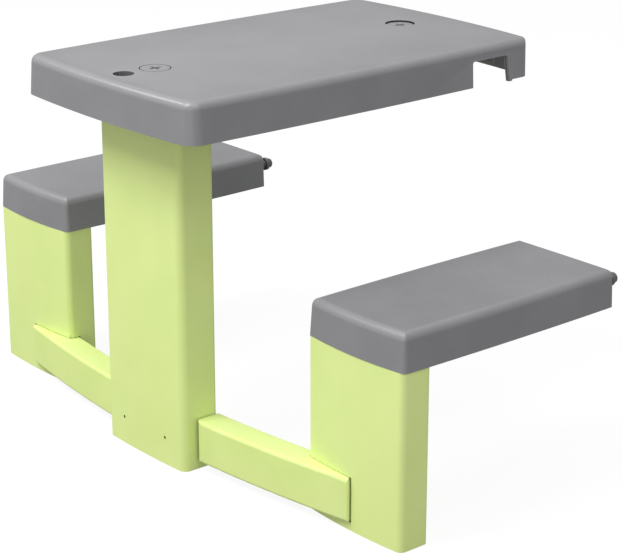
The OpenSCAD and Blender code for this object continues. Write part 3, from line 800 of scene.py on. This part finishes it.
@dataclass(frozen=True)
class BigBolt:
    """A plastic bolt with a wide flat head, a cross slot and a neck that tapers to its shank."""

    neck_len_mm: float
    neck_d_mm: float = 12.0
    head_d_mm: float = 35.6
    head_t_mm: float = 4.0
    shank_d_mm: float = 10.0
    length_mm: float = 46.0
    core_share: float = 0.82
    pitch_mm: float = 2.5
    cross_span_mm: float = 16.0
    cross_w_mm: float = 3.0
    cross_deep_mm: float = 2.4
    plain_mm: float = 2.0
    run_in_mm: float = 1.0
    tip_mm: float = 2.0
    tip_in_mm: float = 1.6
    # Core left bare at both ends of the thread
    bare_mm: float = 1.0
    sides: int = 96
    edge: EdgeRadius = EdgeRadius(0.5, 3)

    def build(self) -> bmesh.types.BMesh:
        """Make the bolt, hanging from the origin at the top of its head.

        Returns:
            A new bmesh.
        """
        head_r, neck, shank = self.head_d_mm / 2, self.neck_d_mm / 2, self.shank_d_mm / 2
        core = shank * self.core_share
        foot = -self.head_t_mm - self.length_mm
        neck_foot = -self.head_t_mm - self.neck_len_mm
        plain = neck_foot + shank - neck - self.plain_mm
        solid = spun(
            [
                (0, 0),
                (head_r, 0),
                (head_r, -self.head_t_mm),
                (neck, -self.head_t_mm),
                (neck, neck_foot),
                (shank, neck_foot + shank - neck),
                (shank, plain),
                (core, plain - self.run_in_mm),
                (core, foot + self.tip_mm),
                (core - self.tip_in_mm, foot),
                (0, foot),
            ],
            self.sides,
        )
        tall = 2 * self.cross_deep_mm
        arms = [
            bar((self.cross_span_mm, self.cross_w_mm, tall), (0, 0, 0)),
            bar((self.cross_w_mm, self.cross_span_mm, tall), (0, 0, 0)),
        ]
        solid = cut(solid, arms)
        self.edge.apply(solid)
        thread_top = plain - self.run_in_mm - self.bare_mm
        Thread(core, shank, self.pitch_mm, thread_top, foot + self.tip_mm + self.bare_mm).wind(solid)
        return solid


@dataclass(frozen=True)
class WallPeg:
    """A stepped peg that plugs into the playhouse wall, along +Z from the seat's back."""

    d_mm: float = 11.0
    root_mm: float = 16.0
    reach_mm: float = 32.0
    collar_d_mm: float = 17.8
    collar_t_mm: float = 4.4
    groove_d_mm: float = 8.6
    groove_w_mm: float = 1.6
    head_d_mm: float = 13.2
    head_t_mm: float = 6.0
    tip_mm: float = 2.0
    sides: int = 64
    edge: EdgeRadius = EdgeRadius(0.7, 4, least_deg=30.0)

    def build(self) -> bmesh.types.BMesh:
        """Make the peg.

        Returns:
            A new bmesh.
        """
        groove = self.reach_mm - self.head_t_mm
        collar = groove - self.groove_w_mm
        start = collar - self.collar_t_mm
        solid = spun(
            [
                (0, -self.root_mm),
                (self.d_mm / 2, -self.root_mm),
                (self.d_mm / 2, start),
                (self.collar_d_mm / 2, start),
                (self.collar_d_mm / 2, collar),
                (self.groove_d_mm / 2, collar),
                (self.groove_d_mm / 2, groove),
                (self.head_d_mm / 2, groove),
                (self.head_d_mm / 2, self.reach_mm - self.tip_mm),
                (self.head_d_mm / 2 - self.tip_mm, self.reach_mm),
                (0, self.reach_mm),
            ],
            self.sides,
        )
        self.edge.apply(solid)
        return solid


@dataclass(frozen=True)
class PanScrew:
    """A zinc-plated pan-head screw that points along +Z from the underside of its head."""

    d_mm: float = 4.0
    head_d_mm: float = 8.0
    head_t_mm: float = 2.6
    length_mm: float = 20.0
    pitch_mm: float = 1.6
    cross_share: float = 0.55
    cross_w_share: float = 0.14
    core_r_share: float = 0.38
    crown_share: float = 1 / 3
    # Plain shank left under the head
    plain_mm: float = 1.5
    sides: int = 32
    thread_steps: int = 12
    edge: EdgeRadius = EdgeRadius(0.25, 2)

    def build(self) -> bmesh.types.BMesh:
        """Make the screw.

        Returns:
            A new bmesh.
        """
        core = self.core_r_share * self.d_mm
        r = self.head_d_mm / 2
        crown = self.crown_share * self.head_t_mm
        cone = self.length_mm - self.d_mm / 2
        solid = spun(
            [
                (0, -self.head_t_mm),
                (r - crown, -self.head_t_mm),
                (r, crown - self.head_t_mm),
                (r, 0),
                (core, 0),
                (core, cone),
                (0, self.length_mm),
            ],
            self.sides,
        )
        span, width = self.head_d_mm * self.cross_share, self.head_d_mm * self.cross_w_share
        middle = (0, 0, -self.head_t_mm)
        arms = [
            bar((span, width, self.head_t_mm), middle),
            bar((width, span, self.head_t_mm), middle),
        ]
        solid = cut(solid, arms)
        self.edge.apply(solid)
        Thread(
            core, self.d_mm / 2, self.pitch_mm, cone, self.plain_mm, steps=self.thread_steps
        ).wind(solid)
        return solid


class Side(Enum):
    """The two sides of the table, with the sign of X on each."""

    LEFT = -1
    RIGHT = 1

    @property
    def word(self) -> str:
        """Name of the side, as node names have it."""
        return self.name.lower()


def node_middle(node: str) -> Vector:
    """Middle of a CAD node's box.

    Args:
        node: Name of the CAD node.

    Returns:
        Its middle.
    """
    low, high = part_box(node)
    return (low + high) / 2


@dataclass
class TableTop:
    """The table top with its two bolts."""

    workshop: Workshop
    edge: EdgeRadius = EdgeRadius(0.8, 3)
    post_bolt: BigBolt = BigBolt(3.0)
    wall_bolt: BigBolt = BigBolt(11.3)

    def build(self) -> None:
        """Build and dress the table top and its bolts."""
        shell = carried_over("tabletop")
        self.edge.apply(shell)
        self.workshop.hand_over("tabletop_shell", shell, Finish.GREY, ("tabletop",))
        for node, design in (
            ("tabletop_post_bolt", self.post_bolt),
            ("tabletop_wall_bolt", self.wall_bolt),
        ):
            low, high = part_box(node)
            middle = (low + high) / 2
            place = Matrix.Translation((middle.x, middle.y, high.z))
            bolt = gather([(design.build(), place)])
            self.workshop.hand_over(f"{node}_threaded", bolt, Finish.BOLT, (node,))


@dataclass
class Stand:
    """The centre post, the two seat posts and the two beams."""

    workshop: Workshop
    edge: EdgeRadius = EdgeRadius(0.8, 3)
    nodes: tuple[str, ...] = (
        "centre_post",
        "left_beam",
        "right_beam",
        "left_seat_post",
        "right_seat_post",
    )

    def build(self) -> None:
        """Build and dress the posts and beams."""
        for node in self.nodes:
            shell = carried_over(node)
            self.edge.apply(shell)
            self.workshop.hand_over(f"{node}_moulding", shell, Finish.GREEN, (node,))


@dataclass
class Seat:
    """One seat with its pegs."""

    workshop: Workshop
    side: Side
    edge: EdgeRadius = EdgeRadius(0.8, 3)
    peg: WallPeg = WallPeg()
    peg_pitch_mm: float = 105.0

    def build(self) -> None:
        """Build and dress the seat and its pegs."""
        node = f"{self.side.word}_seat"
        shell = carried_over(node)
        self.edge.apply(shell)
        self.workshop.hand_over(f"{node}_shell", shell, Finish.GREY, (node,))
        pegs = f"{self.side.word}_seat_pegs"
        middle = node_middle(pegs)
        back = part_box(pegs)[1].y - self.peg.reach_mm * MM
        lie = Matrix.Rotation(math.radians(-90), 4, "X")
        parts = []
        for sign in (-1, 1):
            x = middle.x + sign * self.peg_pitch_mm / 2 * MM
            parts.append((self.peg.build(), Matrix.Translation((x, back, middle.z)) @ lie))
        self.workshop.hand_over(f"{node}_turned_pegs", gather(parts), Finish.PEG, (pegs,))


@dataclass
class Screws:
    """All the small screws, each group at its CAD node's place."""

    workshop: Workshop
    screw: PanScrew = PanScrew()

    def group(self, node: str, turn: Matrix, spots: list[Vector], length_mm: float) -> None:
        """Build one group of screws.

        Args:
            node: CAD node that the group stands for.
            turn: Rotation from the screw's own axis to the place's.
            spots: Undersides of the heads.
            length_mm: Length of each screw.
        """
        screw = PanScrew(length_mm=length_mm)
        parts = [(screw.build(), Matrix.Translation(spot) @ turn) for spot in spots]
        self.workshop.hand_over(f"{node}_threaded", gather(parts), Finish.ZINC, (node,))

    def build(self) -> None:
        """Build and dress every group."""
        forward = Matrix.Rotation(math.radians(90), 4, "X")
        upward = Matrix.Identity(4)
        head = self.screw.head_t_mm * MM
        half = self.screw.head_d_mm / 2 * MM
        low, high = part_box("centre_post_beam_screws")
        spots = [Vector((x, high.y - head, low.z + half)) for x in (low.x + half, high.x - half)]
        self.group("centre_post_beam_screws", forward, spots, (high.y - head - low.y) / MM)
        for side in Side:
            node = f"{side.word}_seat_screws"
            low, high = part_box(node)
            spots = [
                Vector((x, low.y + half, low.z + head)) for x in (low.x + half, high.x - half)
            ]
            self.group(node, upward, spots, (high.z - low.z - head) / MM)
            node = f"{side.word}_beam_end_screws"
            ends = self.separate_heads(node)
            self.group(node, forward, ends, self.screw.length_mm)

    def separate_heads(self, node: str) -> list[Vector]:
        """Find the underside of each head in a group whose screws lie at different depths.

        Args:
            node: CAD node of the group.

        Returns:
            Underside of each head.
        """
        low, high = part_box(node)
        middle = (low.x + high.x) / 2
        head = self.screw.head_t_mm * MM
        half = self.screw.head_d_mm / 2 * MM
        found = []
        for sign in (-1, 1):
            points = [
                v.co
                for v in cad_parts[node].data.vertices
                if sign * (v.co.x - middle) > 0
            ]
            x = (min(p.x for p in points) + max(p.x for p in points)) / 2
            found.append(Vector((x, max(p.y for p in points) - head, low.z + half)))
        return found


# Studio


@dataclass(frozen=True)
class SoftBox:
    """A large soft area light."""

    name: str
    at: tuple[float, float, float]
    aim: tuple[float, float, float]
    size: tuple[float, float]
    watts: float

    def hang(self) -> None:
        """Put the light in the scene."""
        data = bpy.data.lights.new(self.name, "AREA")
        data.shape = "RECTANGLE"
        data.size, data.size_y = self.size
        data.energy = self.watts
        lamp = bpy.data.objects.new(self.name, data)
        lamp.location = self.at
        direction = Vector(self.aim) - Vector(self.at)
        lamp.rotation_euler = direction.to_track_quat("-Z", "Y").to_euler()
        bpy.context.scene.collection.objects.link(lamp)


@dataclass(frozen=True)
class PhotoCamera:
    """A camera at the photograph's viewpoint."""

    eye: tuple[float, float, float] = (1.85813, -1.51947, 1.01309)
    yaw_deg: float = 49.87
    pitch_deg: float = 19.18
    focal_px: float = 2002.2
    picture_px: float = 622.0
    sensor_mm: float = 36.0

    def place(self) -> None:
        """Put the camera in the scene."""
        data = bpy.data.cameras.new("photo_camera")
        data.sensor_fit = "HORIZONTAL"
        data.sensor_width = self.sensor_mm
        data.lens = self.focal_px / self.picture_px * self.sensor_mm
        camera = bpy.data.objects.new("photo_camera", data)
        yaw, pitch = math.radians(self.yaw_deg), math.radians(self.pitch_deg)
        forward = Vector(
            (-math.sin(yaw) * math.cos(pitch), math.cos(yaw) * math.cos(pitch), -math.sin(pitch))
        )
        camera.location = self.eye
        camera.rotation_euler = forward.to_track_quat("-Z", "Y").to_euler()
        bpy.context.scene.collection.objects.link(camera)
        bpy.context.scene.camera = camera


@dataclass(frozen=True)
class WhiteFloor:
    """A white floor whose shadows stay light, and that throws little light back at the table."""

    across_m: float = 60.0
    below_mm: float = 0.2
    paint: str = "#5A5A5A"
    roughness: float = 0.95
    # Light that the floor gives off towards the camera, and towards everything else
    seen_glow: float = 0.92
    cast_glow: float = 0.32

    def lay(self) -> None:
        """Put the floor just under the table's feet."""
        mesh = bmesh.new()
        bmesh.ops.create_grid(mesh, x_segments=2, y_segments=2, size=self.across_m / 2)
        bmesh.ops.translate(mesh, verts=mesh.verts, vec=(0, 0, -self.below_mm * MM))
        data = bpy.data.meshes.new("studio_floor")
        mesh.to_mesh(data)
        mesh.free()
        floor = bpy.data.objects.new("studio_floor", data)
        bpy.context.scene.collection.objects.link(floor)
        material = bpy.data.materials.new("matt_white_studio_paint")
        material.use_nodes = True
        shader = material.node_tree.nodes["Principled BSDF"]
        shader.inputs["Base Color"].default_value = srgb(self.paint)
        shader.inputs["Roughness"].default_value = self.roughness
        shader.inputs["Specular IOR Level"].default_value = 0.0
        shader.inputs["Emission Color"].default_value = (1, 1, 1, 1)
        tree = material.node_tree
        seen = add_node(tree, "ShaderNodeLightPath", {}, {}).outputs["Is Camera Ray"]
        glow = rescaled(tree, seen, UNIT_SPAN, (self.cast_glow, self.seen_glow))
        tree.links.new(glow, shader.inputs["Emission Strength"])
        data.materials.append(material)


@dataclass
class Studio:
    """A white floor, a white surround and soft boxes."""

    floor: WhiteFloor = WhiteFloor()
    surround: float = 0.46
    boxes: tuple[SoftBox, ...] = (
        SoftBox("overhead_box", (0.0, 0.1, 2.6), (0.0, 0.0, 0.3), (2.4, 2.4), 10.0),
        SoftBox("front_box", (-0.3, -1.7, 2.7), (0.0, 0.0, 0.3), (1.4, 1.4), 63.0),
        SoftBox("right_box", (1.7, -0.5, 2.7), (0.1, 0.0, 0.3), (1.2, 1.2), 15.0),
        SoftBox("key_box", (-1.85, -1.2, 2.2), (0.17, -0.27, 0.48), (0.5, 0.5), 14.0),
        SoftBox("low_box", (1.5, -2.0, 0.7), (0.2, -0.1, 0.15), (1.2, 1.2), 5.0),
    )

    def build(self) -> None:
        """Build the floor, the surround, the lights and the camera."""
        self.floor.lay()
        world = bpy.data.worlds.new("white_surround")
        world.use_nodes = True
        back = world.node_tree.nodes["Background"]
        back.inputs["Color"].default_value = (1, 1, 1, 1)
        back.inputs["Strength"].default_value = self.surround
        bpy.context.scene.world = world
        bpy.context.scene.view_settings.view_transform = "Standard"
        for box in self.boxes:
            box.hang()
        PhotoCamera().place()


def build_all() -> None:
    """Build every sub-assembly, then the studio."""
    logging.basicConfig(level=logging.INFO, format="%(name)s: %(message)s")
    workshop = Workshop()
    workshop.prepare()
    TableTop(workshop).build()
    Stand(workshop).build()
    for side in Side:
        Seat(workshop, side).build()
    Screws(workshop).build()
    Studio().build()


if __name__ == "__main__":
    build_all()
